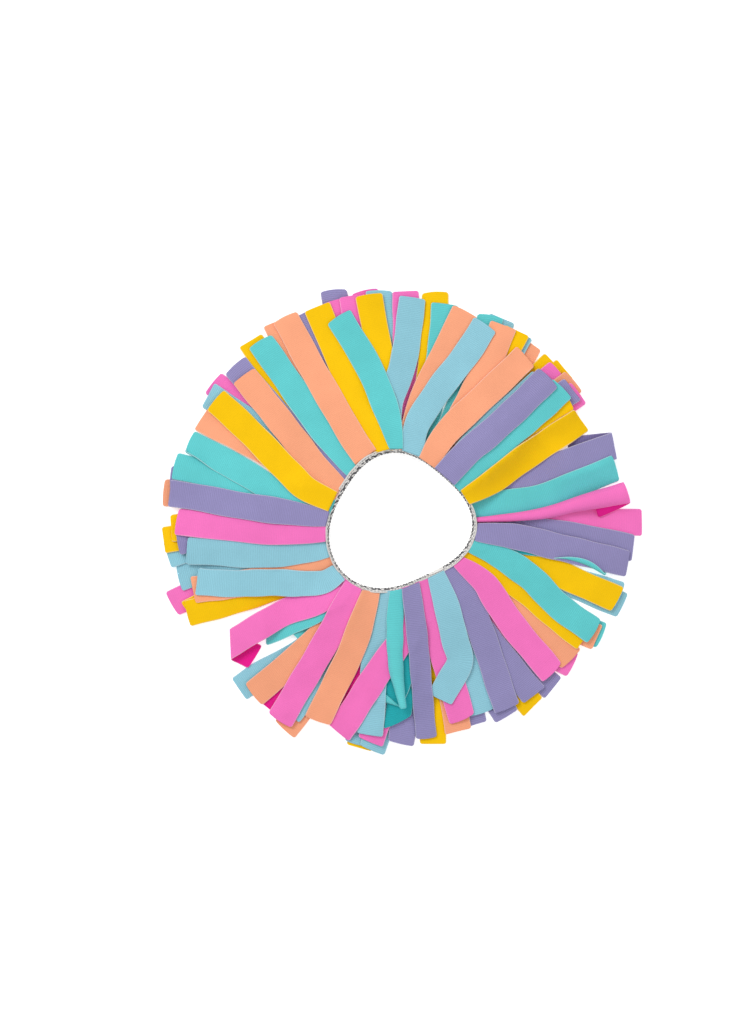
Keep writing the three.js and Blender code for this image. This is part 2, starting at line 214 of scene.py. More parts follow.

# Top strips, lowest first: (colour, bearing at the band, bearing of the tip, reach, extras).
# The extras are:
#   via      points between the two ends, as (bearing, radius)
#   root     share of its width that the strip keeps at its seam
#   pleat    share of its length over which it opens out from there
#   over     it is sewn over the band's top edge, not behind it
#   width    it was cut narrower than the others
#   slant    slope of its cut end, in degrees
#   arch     how far it curls down from its middle to each edge: (share of length, degrees)
#   roll     an edge that turns up and over: (edge, from share, to share, width, radius)
#   fold     cloth past the tip that is folded under, or over where its length is negative:
#            (length, radius, angle)
#   flipped  it lies with its reverse up, so the reverse's painted shade colour shows on top
TOP_STRIPS = [
    ("turquoise", 280, 284, 224, {}),
    ("turquoise", 283, 290.5, 217, {
        "via": [(283, 115), (287.4, 153)],
        "roll": (-1, 0.78, 1.2, 4.5, 1.7),
    }),
    ("peach", 295, 297.5, 216, {}),
    ("purple", 309, 313.4, 219, {"root": 0.68}),
    ("yellow", 353, 352, 220, {}),
    ("light_blue", 351, 3, 216, {"via": [(355, 115), (0.8, 153)]}),
    ("peach", 4, 17, 212, {"via": [(7.5, 96), (11.5, 134)]}),
    ("purple", 75, 70.5, 215, {
        "via": [(72, 115), (70.4, 150), (70.2, 185)],
        "fold": (42, 2.6, 6.5),
    }),
    ("pink", 90, 90.2, 232, {"slant": 3}),
    ("purple", 92.5, 96.3, 225, {}),
    ("yellow", 103, 109.6, 221, {}),
    ("turquoise", 101, 102.4, 203, {
        "via": [(99, 115), (98.8, 145), (100.6, 172)],
        "roll": (1, 0.58, 1.1, 10, 2.6),
        "flipped": True,
    }),
    ("peach", 121, 128.8, 210, {}),
    ("yellow", 115, 122.4, 209, {"via": [(116, 96), (118.6, 134), (121.4, 172)]}),
    ("purple", 139, 142.3, 210, {}),
    ("light_blue", 149, 157, 199, {}),
    ("light_blue", 193, 188.3, 206, {"root": 0.5, "via": [(191.5, 115), (190, 153)]}),
    ("pink", 177, 196.6, 211, {"via": [(177.5, 103), (183.3, 123.5), (189.4, 151)]}),
    ("peach", 213, 220.5, 218, {"via": [(214, 115), (216.6, 153)]}),
    ("turquoise", 222, 231, 167, {"slant": -20}),
    ("yellow", 239, 246.8, 223, {}),
    ("peach", 241, 252, 210, {"via": [(243.5, 115), (247, 144)]}),
    ("yellow", 346, 338.7, 222, {"root": 0.66, "via": [(343.5, 96), (340.6, 118), (339.4, 150)]}),
    ("light_blue", 9, 23, 206, {
        "root": 0.8,
        "over": True,
        "via": [(9.5, 96), (16.4, 134), (21.2, 172)],
    }),
    ("turquoise", 356, 343.3, 206, {"root": 0.5, "via": [(354, 96), (351.6, 118), (348, 153)]}),
    ("peach", 24, 37, 199, {"root": 0.76, "over": True, "via": [(27.2, 96), (34.2, 153)]}),
    ("turquoise", 55, 50.3, 200, {"root": 0.72, "over": True, "via": [(52.4, 96), (51.4, 134)]}),
    ("purple", 43.5, 45.5, 197, {
        "root": 0.98,
        "over": True,
        "via": [(43.4, 92), (44.7, 115), (45.5, 153)],
    }),
    ("turquoise", 81, 76, 213, {
        "root": 0.85,
        "pleat": 0.2,
        "via": [(79.8, 96), (80.3, 130), (77.8, 170)],
    }),
    ("yellow", 69, 60.5, 199, {"root": 0.62, "over": True, "via": [(66, 96), (62.5, 134)]}),
    ("pink", 88.6, 82.6, 216, {
        "root": 0.35,
        "pleat": 0.9,
        "via": [(88, 90), (86.6, 134), (84, 175)],
        "arch": [(0, 120), (0.3, 115), (0.6, 90), (0.85, 55), (1, 40)],
        "fold": (30, 2.6, -5),
    }),
    ("turquoise", 108, 119.5, 213, {"root": 0.53, "via": [(109, 96), (113, 134), (118, 172)]}),
    ("purple", 97.4, 100.4, 222, {"root": 0.66, "via": [(97.3, 115), (99, 153)]}),
    ("purple", 134, 150.2, 206, {"root": 0.7, "via": [(138, 96), (144.5, 134)]}),
    ("pink", 123.6, 135, 205, {"root": 0.5, "via": [(126, 96), (129, 115), (133, 153)]}),
    ("pink", 159, 162.6, 198, {"root": 0.7, "via": [(161.2, 96), (162.4, 134)]}),
    ("light_blue", 146, 167.6, 174, {
        "root": 0.66,
        "via": [(151.2, 90), (153.2, 106), (155.4, 125), (157, 144), (162.4, 158)],
        "slant": 2,
    }),
    ("turquoise", 184, 179.4, 177, {
        "width": 16.5,
        "root": 0.85,
        "via": [(183.6, 100), (182.2, 134)],
        "arch": [(0, 10), (0.4, 35), (0.75, 75), (1, 155)],
        "slant": 0,
    }),
    ("purple", 172, 173.3, 209, {"width": 19.5, "root": 0.9, "via": [(171.8, 96), (172.6, 150)]}),
    ("pink", 224, 234.4, 197, {
        "via": [(222.5, 90), (226.6, 113), (231.2, 134), (233, 155)],
        "fold": (23, 3.6, 28),
    }),
    ("pink", 217.5, 211.4, 223, {"root": 0.7, "via": [(214.5, 96), (212.2, 134)]}),
    ("peach", 204, 202.7, 207, {"root": 0.66, "via": [(201.8, 96), (201.2, 134)]}),
    ("light_blue", 249.5, 262.3, 207, {"root": 0.6, "via": [(252.7, 96), (258.4, 153)]}),
    ("light_blue", 231, 253.8, 204, {
        "root": 0.7,
        "via": [(232.5, 94), (239.2, 115), (244.6, 136), (250, 172)],
    }),
    ("pink", 261.5, 270, 215, {"root": 0.66, "via": [(265.3, 115), (267.7, 153)]}),
    ("purple", 272, 277, 224, {"root": 0.58, "via": [(275, 115), (276.5, 172)]}),
    ("peach", 300, 313, 206, {"root": 0.6, "via": [(303.5, 96), (308.3, 134)]}),
    ("yellow", 286, 303.4, 213, {"root": 0.8, "via": [(289.5, 96), (294.2, 117), (299.2, 153)]}),
    ("turquoise", 316.5, 322, 220, {"root": 0.5, "via": [(319.5, 115), (320.8, 153)]}),
    ("peach", 332, 330.4, 226, {"root": 0.96, "via": [(330, 96), (330, 134)]}),
]

# Under strips by quarter, lowest first: (colour, bearing of the tip, reach, extras). Each
# begins near its tip's bearing, or near the bearing that its extras give as from.
UNDER_STRIPS = {
    "under_fringe_front_right": [
        ("light_blue", 110.6, 228, {"from": 104}), ("light_blue", 108.4, 222, {"from": 106}),
        ("turquoise", 119.5, 222, {}), ("peach", 120.3, 219, {}),
        ("purple", 137.5, 217, {}), ("pink", 129.7, 215, {}), ("yellow", 144.3, 219, {}),
        ("purple", 151.5, 213, {}), ("purple", 160, 208, {}), ("yellow", 171.8, 216, {}),
        ("peach", 164.6, 209, {}),
    ],
    "under_fringe_front_left": [
        ("yellow", 190.6, 221, {}), ("light_blue", 191.2, 217, {"slant": 8}),
        ("light_blue", 187.2, 221, {"slant": -6}), ("purple", 180, 213, {}),
        ("pink", 187.9, 213, {}),
        ("turquoise", 181, 192, {
            "slant": 32,
            "flipped": True,
            "via": [(179.5, 115), (179.4, 150)],
        }),
        ("turquoise", 183.4, 173, {
            "slant": 24,
            "flipped": True,
            "via": [(180.5, 115), (180.8, 145)],
            "fold": (-3.5, 1.1, 0),
        }),
        ("peach", 209.2, 229, {}), ("pink", 199, 196, {"flipped": True}),
        ("light_blue", 210.2, 213, {}),
        ("light_blue", 224, 224, {"from": 213, "via": [(216.8, 150), (222.2, 195)]}),
        ("pink", 215, 220, {"flipped": True}), ("turquoise", 223.6, 149, {}),
        ("pink", 250.4, 234, {}), ("yellow", 246.8, 222.5, {}), ("light_blue", 255.7, 220, {}),
        ("light_blue", 262, 227, {}),
    ],
    "under_fringe_back_left": [
        ("yellow", 265.6, 229, {}), ("yellow", 268.4, 221, {}), ("purple", 265, 215, {}),
        ("peach", 277, 230, {}), ("purple", 280.5, 225, {}), ("pink", 306.6, 225, {}),
        ("light_blue", 303.4, 222, {}), ("purple", 313, 217, {}), ("yellow", 320.4, 227, {}),
        ("peach", 328, 227, {}), ("purple", 334, 221, {}), ("purple", 343.7, 232, {}),
        ("pink", 351.2, 225, {}), ("pink", 344, 222, {}), ("pink", 347.7, 222, {}),
    ],
    "under_fringe_back_right": [
        ("light_blue", 354.5, 223, {}), ("pink", 1, 222, {}), ("yellow", 8.4, 223, {}),
        ("turquoise", 11.5, 214, {}), ("light_blue", 26.3, 219, {}), ("turquoise", 23.6, 216, {}),
        ("peach", 35.9, 213, {}), ("light_blue", 32.4, 214, {}), ("yellow", 31.1, 215, {}),
        ("peach", 27.5, 213, {}), ("yellow", 47.2, 216, {}), ("yellow", 43.8, 212, {}),
        ("pink", 46.3, 209, {}), ("peach", 51, 214, {}), ("pink", 54, 211, {}),
        ("purple", 52.3, 208, {}), ("yellow", 53.3, 198, {}),
        ("light_blue", 45, 191, {"from": 42}),
    ],
}

# Each heading tape's first and last bearing.
HEADINGS = {
    "under_fringe_front_right": (92, 176),
    "under_fringe_front_left": (182, 264),
    "under_fringe_back_left": (268, 348),
    "under_fringe_back_right": (354, 444),
}


# ---- the neck outline ----

def polar(bearing, radius):
    """A point in the plane, from the middle of the neck opening."""
    angle = np.radians(bearing)
    return np.stack([np.sin(angle) * radius, np.cos(angle) * radius], -1)


def neck_point(bearing):
    """A point on the inner face of the band."""
    waves = sum(high * np.cos(np.radians(turns * (bearing - crest)))
                for turns, high, crest in NECK_WAVES)
    return polar(bearing, NECK_RADIUS + waves)


def neck_normal(bearing):
    """The direction straight out from the band."""
    along = neck_point(bearing + 1) - neck_point(bearing - 1)
    along = along / np.linalg.norm(along, axis=-1, keepdims=True)
    return np.stack([-along[..., 1], along[..., 0]], -1)


def packed_lean(bearing):
    """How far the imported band's top edge leans outwards."""
    wave = PACKED_FLARE_CHANGE * np.cos(np.radians(bearing - PACKED_FLARE_BEARING))
    return PACKED_FLARE * (1 - PACKED_FLARE_CHANGE + wave)


def lean(bearing, share):
    """How far the woven band leans outwards at a share of its height."""
    bearings, leans = zip(*LEANS)
    nearby = [np.interp(bearing + step, bearings, leans, period=360) for step in (-9, -3, 3, 9)]
    return share * sum(nearby) / len(nearby)


def beside_band(bearing, out, z):
    """A point outside the band's inner face by out, at height z."""
    distance = out + lean(bearing, z / BAND_HEIGHT)
    place = neck_point(bearing) + neck_normal(bearing) * np.expand_dims(distance, -1)
    return np.concatenate([place, np.broadcast_to(z, distance.shape)[..., None]], -1)


def neck_centre():
    """Where the bearings' centre lies in the row frame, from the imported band."""
    bearings = np.arange(0, 360, 5.0)
    out = PACKED_TAPE + packed_lean(bearings)
    edge = neck_point(bearings) + neck_normal(bearings) * out[:, None]
    low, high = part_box("band_tape")
    packed = np.array([low.x + high.x, low.y + high.y]) / 2 / MM
    return packed - (edge.min(0) + edge.max(0)) / 2


CENTRE = neck_centre()


# ---- small helpers ----

def smooth(share):
    """Rises from 0 to 1 with level ends."""
    share = np.clip(share, 0, 1)
    return share * share * (3 - 2 * share)


def keyed(keys, share):
    """Degrees listed as (share, degrees), read off between them and given in radians."""
    places, angles = zip(*keys)
    return np.radians(np.interp(share, places, angles))


def turned(vector, degrees):
    """Plane vectors turned clockwise, seen from above."""
    angle = np.radians(degrees)
    x, y = vector[..., 0], vector[..., 1]
    return np.stack([x * np.cos(angle) + y * np.sin(angle),
                     y * np.cos(angle) - x * np.sin(angle)], -1)


def unit(vectors):
    return vectors / np.linalg.norm(vectors, axis=-1, keepdims=True)


# ---- the pile that each strip is laid on ----

class Pile:
    """A map of how high the fabric laid so far reaches."""

    CELL = 1.25
    REACH = 260
    WHOLLY_SHOWN = 0.9

    def __init__(self):
        cells = int(2 * self.REACH / self.CELL) + 3
        self.tops = np.zeros((cells, cells))

    def cell(self, points):
        place = np.round((points + self.REACH) / self.CELL).astype(int) + 1
        return np.clip(place, 1, len(self.tops) - 2)

    def under(self, points):
        """The highest fabric in the cells round each point."""
        place = self.cell(points)
        high = np.zeros(points.shape[:-1])
        for i in (-1, 0, 1):
            for j in (-1, 0, 1):
                high = np.maximum(high, self.tops[place[..., 0] + i, place[..., 1] + j])
        return high

    def cover(self, points, tops, shown):
        """Adds a cloth's tops, except where shown is false."""
        fine_points, fine_tops, fine_shown = (halved(a) for a in (points, tops, shown * 1.0))
        counted = fine_shown > self.WHOLLY_SHOWN
        place = self.cell(fine_points)[counted]
        np.maximum.at(self.tops, (place[:, 0], place[:, 1]), fine_tops[counted])


def halved(grid):
    """The grid with a new row and column between each two."""
    for axis in (0, 1):
        first = np.take(grid, range(grid.shape[axis] - 1), axis)
        second = np.take(grid, range(1, grid.shape[axis]), axis)
        both = np.stack([first, (first + second) / 2], axis + 1)
        shape = list(grid.shape)
        shape[axis] = 2 * (shape[axis] - 1)
        last = np.take(grid, [grid.shape[axis] - 1], axis)
        grid = np.concatenate([both.reshape(shape), last], axis)
    return grid


def draped(least, rigid):
    """A low, smooth cloth that stays above the least heights. A rigid one keeps its section."""
    if rigid:
        least = np.broadcast_to(least.max(1, keepdims=True), least.shape)
    cloth = least.copy()
    for _ in range(DRAPE_PASSES):
        wide = np.pad(cloth, ((2, 2), (0, 0)), "edge")
        cloth = (wide[:-4] + 2 * wide[1:-3] + 3 * wide[2:-2] + 2 * wide[3:-1] + wide[4:]) / 9
        wide = np.pad(cloth, ((0, 0), (1, 1)), "edge")
        cloth = (wide[:, :-2] + 2 * wide[:, 1:-1] + wide[:, 2:]) / 4
        cloth = np.maximum(cloth, least)
    return cloth


# ---- routes and sections ----

def through(points):
    """A smooth line through the points."""
    points = np.array(points, float)
    ends = np.array([2 * points[0] - points[1], 2 * points[-1] - points[-2]])
    points = np.concatenate([ends[:1], points, ends[1:]])
    t = np.linspace(0, 1, CURVE_STEPS, endpoint=False)[:, None]
    runs = []
    for a, b, c, d in zip(points, points[1:], points[2:], points[3:]):
        runs.append(0.5 * (2 * b + (c - a) * t + (2 * a - 5 * b + 4 * c - d) * t ** 2
                           + (3 * b - a - 3 * c + d) * t ** 3))
    return np.concatenate(runs + [points[-2:-1]])


def steps_of(line):
    return np.linalg.norm(np.diff(line, axis=0), axis=1)


def along_line(line):
    """How far along a line each of its points lies."""
    return np.concatenate([[0], np.cumsum(steps_of(line))])


def evenly(line, spots):
    """Points on a line at the given distances along it."""
    along = along_line(line)
    return np.stack([np.interp(spots, along, line[:, axis]) for axis in (0, 1)], -1)


def strip_line(root, tip, reach, start_out, via=()):
    """The centre line of a strip, seen from above."""
    start = neck_point(root) + neck_normal(root) * start_out
    end = polar(tip, reach)
    if via:
        return through([start, *[polar(b, r) for b, r in via], end])
    bend = start + neck_normal(root) * BEND_START * np.linalg.norm(end - start)
    t = np.linspace(0, 1, LINE_STEPS)[:, None]
    return start * (1 - t) ** 2 + 2 * bend * t * (1 - t) + end * t ** 2


class Cut:
    """One strip as it is laid: its stations, directions and widths."""

    def __init__(self, line, root_across, extras):
        flat_end = steps_of(line).sum()
        self.fold = extras.get("fold")
        if self.fold:
            back, radius, _ = self.fold
            ahead = unit(line[-1] - line[-TAIL_AIM]) * (abs(back) + math.pi * radius)
            tail = ahead * np.linspace(1 / TAIL_STEPS, 1, TAIL_STEPS)[:, None]
            line = np.concatenate([line, line[-1:] + tail])
        self.length = steps_of(line).sum()
        before = self.length - CORNER
        count = int(before / STATION_STEP)
        body = np.linspace(0, before, count, endpoint=False)
        self.along = np.append(body, before + CORNER * CORNER_STEPS)
        self.share = self.along / self.length
        self.centre = evenly(line, self.along)
        self.forward = unit(np.gradient(evenly(line, body), axis=0))
        last = np.repeat(self.forward[-1:], len(CORNER_STEPS), 0)
        self.forward = np.concatenate([self.forward, last])
        self.across = np.stack([self.forward[:, 1], -self.forward[:, 0]], -1)
        turn = smooth(self.along / ROOT_TURN)[:, None]
        self.across = unit(root_across * (1 - turn) + self.across * turn)
        self.width = extras.get("width", STRIP_WIDTH)
        root_share = extras.get("root", ROOT_SHARE)
        opened = 1 - (1 - np.clip(self.share / extras.get("pleat", PLEAT_END), 0, 1)) ** 2
        into_corner = np.maximum(self.along - before, 0)
        corner = CORNER - np.sqrt(np.maximum(CORNER ** 2 - into_corner ** 2, 0))
        self.half = self.width / 2 * (root_share + (1 - root_share) * opened) - corner
        self.fold_at = evenly(line, [flat_end])[0]

    @property
    def held(self):
        return "folded" if self.fold else "laid"


def folded(cut, plan):
    """Turns back what lies past the fold, and gives how high each point is held for it."""
    back, radius, angle = cut.fold
    ahead = turned(cut.forward[-1], angle)
    past = (plan - cut.fold_at) @ ahead
    bent = np.clip(past / radius, 0, math.pi)
    beyond = np.maximum(past - math.pi * radius, 0)
    moved = radius * np.sin(bent) - beyond
    tail = past > 0
    plan = np.where(tail[..., None], plan + ahead * (moved - past)[..., None], plan)
    if back < 0:
        return plan, np.where(tail, radius * (1 - np.cos(bent)), 0)
    held = smooth((past + back + FOLD_RISE) / FOLD_RISE) * 2 * radius
    return plan, np.where(tail, radius * (1 + np.cos(bent)), held)


def section(cut, extras):
    """Each station's columns: how far to the side, how high, and how high by a roll alone."""
    share = cut.share[:, None]
    half = cut.half[:, None]
    side = COLUMNS * half
    rise = np.zeros(side.shape)
    curled = np.zeros(side.shape)
    if "arch" in extras:
        angle = np.maximum(keyed(extras["arch"], share), 0.01)
        side = half / angle * np.sin(angle * COLUMNS)
        rise = half / angle * (np.cos(angle * COLUMNS) - np.cos(angle))
    if "roll" in extras:
        edge, start, end, width, radius = extras["roll"]
        swell = np.sin(math.pi * np.clip((share - start) / (end - start), 0, 1)) ** ROLL_BLUNTNESS
        past = np.maximum(edge * side - (half - width * swell), 0)
        bent = np.minimum(past / radius, math.pi)
        beyond = past - bent * radius
        side = side + edge * (radius * np.sin(bent) - beyond - past)
        curled = radius * (1 - np.cos(bent))
    return side, rise + curled, curled


def ripple(share, turns, shift=0.0):
    """A sine along the strip, from a drawn place in its turn."""
    return np.sin(2 * math.pi * (share * turns + shift + draw.random()))


def lay(cut, pile, root_z, extras):
    """The middle of the strip's cloth, laid on the pile, as a grid of points."""
    side, rise, curled = section(cut, extras)
    share = cut.share[:, None]
    bow = 1 - COLUMNS ** 2
    # The seam holds a strip over the first third of its length.
    settled = smooth(share * 3)
    near_tip = smooth((share - (1 - CUT_SHARE)) / CUT_SHARE)
    slant = math.tan(math.radians(extras.get("slant", draw.uniform(-CUT_SLANT, CUT_SLANT))))
    bulge = draw.uniform(*CUT_BULGE) * bow
    cut_back = (side * slant + bulge) * near_tip
    sway = draw.uniform(-SWAY, SWAY) * ripple(share, SWAY_TURNS)
    ragged = RAGGED_EDGE * ripple(share, draw.uniform(*EDGE_TURNS), COLUMNS * EDGE_LAG)
    drift = (sway + ragged * COLUMNS ** 2) * settled
    plan = (cut.centre[:, None] + cut.across[:, None] * (side + drift)[..., None]
            + cut.forward[:, None] * cut_back[..., None])
    held = np.zeros(rise.shape)
    if cut.fold:
        plan, held = folded(cut, plan)

    rigid = "arch" in extras or "roll" in extras
    fall = root_z * (1 - smooth(cut.along / ROOT_FALL))[:, None]
    least = np.maximum(pile.under(plan) + AIR - rise, fall - rise - held)
    height = draped(least, rigid) + rise + held
    crown = draw.uniform(*CROWN) * bow * smooth(share * 4)
    tip = 0
    if not cut.fold:
        tip = draw.uniform(*LIFTED_TIP) * smooth((share - (1 - TIP_SHARE)) / TIP_SHARE) ** 2
    billow = draw.uniform(*BILLOW) * (1 + ripple(share, draw.uniform(*BILLOW_TURNS))) / 2
    tilt = draw.uniform(0, TILT) * (1 + COLUMNS * draw.choice((-1, 1)))
    wave = EDGE_WAVE * ripple(share, draw.uniform(*EDGE_TURNS)) * COLUMNS ** 2
    # Raised by the waves' own depth, so that no edge dips into the cloth below.
    height = height + crown + tip + (billow + tilt + wave) * settled + EDGE_WAVE
    pile.cover(plan, height + FABRIC, curled < RAISED_EDGE)
    return np.concatenate([plan, (height + FABRIC / 2)[..., None]], -1)


# ---- meshes ----

def ribbon(name, middle, along, across, thickness, looped=False, flipped=False):
    """A closed band of cloth round a grid of middle points, rounded at its edges.

    Its UV map is in metres, across and along the cloth. Its attributes are cut_edge, which
    is 1 or close to it on a cut, and reverse, which is 1 on its lower or inner face, or on
    the other one if it is flipped.
    """
    rows, columns = middle.shape[:2]
    if looped:
        wide = np.concatenate([middle[-1:], middle, middle[:1]])
        run = wide[2:] - wide[:-2]
    else:
        run = np.gradient(middle, axis=0)
    side = np.gradient(middle, axis=1)
    normal = unit(np.cross(side, run))
    half = np.full((rows, 1, 1), thickness / 2)
    if not looped:
        half[[0, -1]] *= END_THICKNESS
    face = middle + normal * half
    back = middle - normal * half
    first = middle[:, :1] - unit(side[:, :1]) * half * EDGE_ROUND
    last = middle[:, -1:] + unit(side[:, -1:]) * half * EDGE_ROUND
    rings = np.concatenate([face, last, back[:, ::-1], first], 1)
    size = rings.shape[1]

    edge_columns = np.zeros(columns)
    edge_columns[[0, -1]] = 1
    cut_edge = np.concatenate([edge_columns, [1], edge_columns, [1]])
    cut_edge = np.tile(cut_edge, (rows, 1))
    if not looped:
        cut_edge[-1] = END_CUT
    reverse = np.concatenate([np.zeros(columns), [0.5], np.ones(columns), [0.5]])
    reverse = np.tile(1 - reverse if flipped else reverse, (rows, 1))
    spread = np.concatenate([across, across[:, -1:], across[:, ::-1], across[:, :1]], 1)
    lengthwise = np.tile(along[:, None], (1, size))

    index = np.arange(rows * size).reshape(rows, size)
    after = np.roll(index, -1, 1)
    pairs = zip(index, after, np.roll(index, -1, 0), np.roll(after, -1, 0))
    faces = []
    for i, (a, b, c, d) in enumerate(pairs):
        if looped or i < rows - 1:
            faces.extend(zip(a.tolist(), c.tolist(), d.tolist(), b.tolist()))
    if not looped:
        for ring, flip in ((index[0], False), (index[-1], True)):
            faces.extend(cap(ring.tolist(), columns, flip))

    mesh = bpy.data.meshes.new(name)
    points = rings.reshape(-1, 3).copy()
    points[:, :2] += CENTRE
    mesh.from_pydata((points * MM).tolist(), [], faces)
    for label, values in (("cut_edge", cut_edge), ("reverse", reverse)):
        layer = mesh.attributes.new(label, "FLOAT", "POINT")
        layer.data.foreach_set("value", values.ravel().astype(np.float32))
    corner = np.zeros(len(mesh.loops), np.int32)
    mesh.loops.foreach_get("vertex_index", corner)
    uv = np.stack([spread.ravel(), lengthwise.ravel()], -1)[corner] * MM
    mesh.uv_layers.new(name="weave").data.foreach_set("uv", uv.ravel().astype(np.float32))
    mesh.polygons.foreach_set("use_smooth", [True] * len(mesh.polygons))
    mesh.update()
    return linked(name, mesh)


def cap(ring, columns, flip):
    """The faces that close one end of a ribbon."""
    faces = []
    back = list(reversed(ring[columns + 1:2 * columns + 1]))
    for j in range(columns - 1):
        faces.append((ring[j], ring[j + 1], back[j + 1], back[j]))
    faces.append((ring[columns - 1], ring[columns], back[columns - 1]))
    faces.append((ring[0], back[0], ring[-1]))
    return [tuple(reversed(f)) for f in faces] if flip else faces


def strip_mesh(name, cut, middle, flipped):
    across = COLUMNS * cut.half[:, None] + PATTERN_SPAN * draw.random()
    along = cut.along + PATTERN_SPAN * draw.random()
    return ribbon(name, middle, along, across, FABRIC, flipped=flipped)


def linked(name, data):
    """A new object in the scene."""
    made = bpy.data.objects.new(name, data)
    bpy.context.scene.collection.objects.link(made)
    return made


# ---- materials ----

class Nodes:
    """A short way to write a node material."""

    def __init__(self, name):
        self.material = bpy.data.materials.new(name)
        self.material.use_nodes = True
        self.tree = self.material.node_tree
        self.shader = self.tree.nodes["Principled BSDF"]

    def add(self, kind, inputs=(), **settings):
        node = self.tree.nodes.new("ShaderNode" + kind)
        for key, value in settings.items():
            setattr(node, key, value)
        for slot, value in dict(inputs).items():
            self.put(node.inputs[slot], value)
        return node

    def put(self, socket, value):
        if isinstance(value, bpy.types.NodeSocket):
            self.tree.links.new(value, socket)
        else:
            socket.default_value = value

    def maths(self, operation, *values):
        return self.add("Math", enumerate(values), operation=operation).outputs[0]

    def mix(self, factor, first, second):
        node = self.add("Mix", data_type="RGBA")
        self.put(node.inputs[0], factor)
        self.put(node.inputs[6], first)
        self.put(node.inputs[7], second)
        return node.outputs[2]

    def attribute(self, name):
        return self.add("Attribute", attribute_name=name).outputs["Fac"]

    def weave(self):
        """The cloth's own coordinates, in metres: across, along and both as a vector."""
        uv = self.add("UVMap", uv_map="weave").outputs[0]
        parts = self.add("SeparateXYZ", {0: uv}).outputs
        return parts[0], parts[1], uv

    def noise(self, vector, scale, detail=2.0):
        return self.add("TexNoise", {"Vector": vector, "Scale": scale, "Detail": detail}).outputs[0]

    def wave(self, value, pitch):
        """A sine from -1 to 1 with the given pitch in metres."""
        return self.maths("SINE", self.maths("MULTIPLY", value, 2 * math.pi / pitch))

    def varied(self, noise, amount, middle=1.0):
        """A noise from 0 to 1, spread by amount round the middle."""
        return self.maths("MULTIPLY_ADD", noise, amount, middle - amount / 2)

    def product(self, first, *others):
        for other in others:
            first = self.maths("MULTIPLY", first, other)
        return first

    def toned(self, colour, value):
        return self.add("HueSaturation", {"Color": colour, "Value": value}).outputs[0]

    def finish(self, colour, **inputs):
        """Sets the base colour and the shader's other inputs, spelt with underscores."""
        self.put(self.shader.inputs["Base Color"], colour)
        for name, value in inputs.items():
            self.put(self.shader.inputs[name.replace("_", " ")], value)
        return self.material

    def bump(self, height, strength, distance):
        inputs = {"Height": height, "Strength": strength, "Distance": distance}
        self.put(self.shader.inputs["Normal"], self.add("Bump", inputs).outputs[0])


def with_alpha(colour):
    return (*colour, 1.0)


def knit(name, face, reverse, contrast):
    """A double-knit jersey with fine ribs across the strip. Its reverse is darker and its face has
    soft lighter and darker patches, both painted shade, and it has a painted highlight where it is
    cut.
    """
    n = Nodes(name)
    across, along, uv = n.weave()
    dye = n.noise(uv, DYE_SCALE, 0)
    painted_fold_shade = n.noise(uv, FOLD_SHADE_SCALE, 1)
    worn = n.noise(uv, WEAR_SCALE, 3)
    bend = n.noise(uv, RIB_BEND_SCALE, 1)
    ribs = n.wave(n.maths("MULTIPLY_ADD", bend, RIB_BEND, along), RIB_PITCH)
    wales = n.wave(across, WALE_PITCH)
    grain = n.noise(uv, KNIT_GRAIN_SCALE, 3)

    ribbed = n.maths("MULTIPLY_ADD", n.product(ribs, worn), contrast, 1.0)
    surface = n.product(n.varied(worn, 0.12), n.varied(grain, 0.22), ribbed)
    # Random dye tone, times soft lighter and darker patches of painted shade for the drape.
    cloth = n.product(n.varied(dye, 0.12, 1.005), n.varied(painted_fold_shade, 0.16))
    # The reverse face takes the darker reverse colour, which is painted shade.
    colour = n.mix(n.attribute("reverse"), with_alpha(face), with_alpha(reverse))
    colour = n.toned(colour, n.product(surface, cloth))
    # A painted highlight along each cut, broken up by the grain.
    cut_highlight_grain = n.maths("MULTIPLY_ADD", grain, 0.6, 0.3)
    pale = [part + (1 - part) * CUT_PALENESS for part in face]
    colour = n.mix(n.product(n.attribute("cut_edge"), cut_highlight_grain), colour, with_alpha(pale))

    relief = n.maths("ADD", n.product(ribs, 6 * contrast), n.product(wales, 0.2))
    relief = n.maths("ADD", relief, n.product(grain, 0.8))
    n.bump(relief, 0.4, KNIT_RELIEF)
    return n.finish(colour, Roughness=n.maths("MULTIPLY_ADD", grain, 0.12, 0.80),
                    Specular_IOR_Level=0.18, Sheen_Weight=0.1, Sheen_Roughness=0.45)


def printed_marks(n, across, along, uv):
    """How dark the ink is: a row of broken crossing strokes on the band's inner face."""
    wobble = n.product(n.noise(uv, STROKE_WOBBLE_SCALE, 2), STROKE_WOBBLE)
    sets = []
    for slope, pitch, width in STROKES:
        slanted = n.maths("ADD", n.maths("MULTIPLY_ADD", across, slope, along), wobble)
        sets.append(n.maths("COMPARE", n.maths("PINGPONG", slanted, pitch), 0, width))
    row = n.maths("COMPARE", across, PRINT_MIDDLE, PRINT_REACH)
    broken = n.maths("GREATER_THAN", n.noise(uv, PRINT_BREAK_SCALE, 1), PRINT_BREAK)
    inside = n.maths("GREATER_THAN", n.attribute("reverse"), 0.75)
    return n.product(n.maths("MAXIMUM", *sets), row, broken, inside, PRINT_STRENGTH)


def tape(name, printed):
    """A woven tape."""
    n = Nodes(name)
    across, along, uv = n.weave()
    grain = n.noise(uv, TAPE_GRAIN_SCALE, 3)
    colour = n.toned(with_alpha(TAPE_WHITE), n.maths("MULTIPLY_ADD", grain, 0.2, 0.88))
    if printed:
        colour = n.mix(printed_marks(n, across, along, uv), colour, with_alpha(PRINT_DARK))
    weave = n.maths("ADD", n.wave(along, TAPE_PITCH), n.wave(across, TAPE_PITCH))
    n.bump(weave, 0.3, TAPE_RELIEF)
    return n.finish(colour, Roughness=n.maths("MULTIPLY_ADD", grain, 0.15, 0.7),
                    Specular_IOR_Level=0.25, Sheen_Weight=0.05)


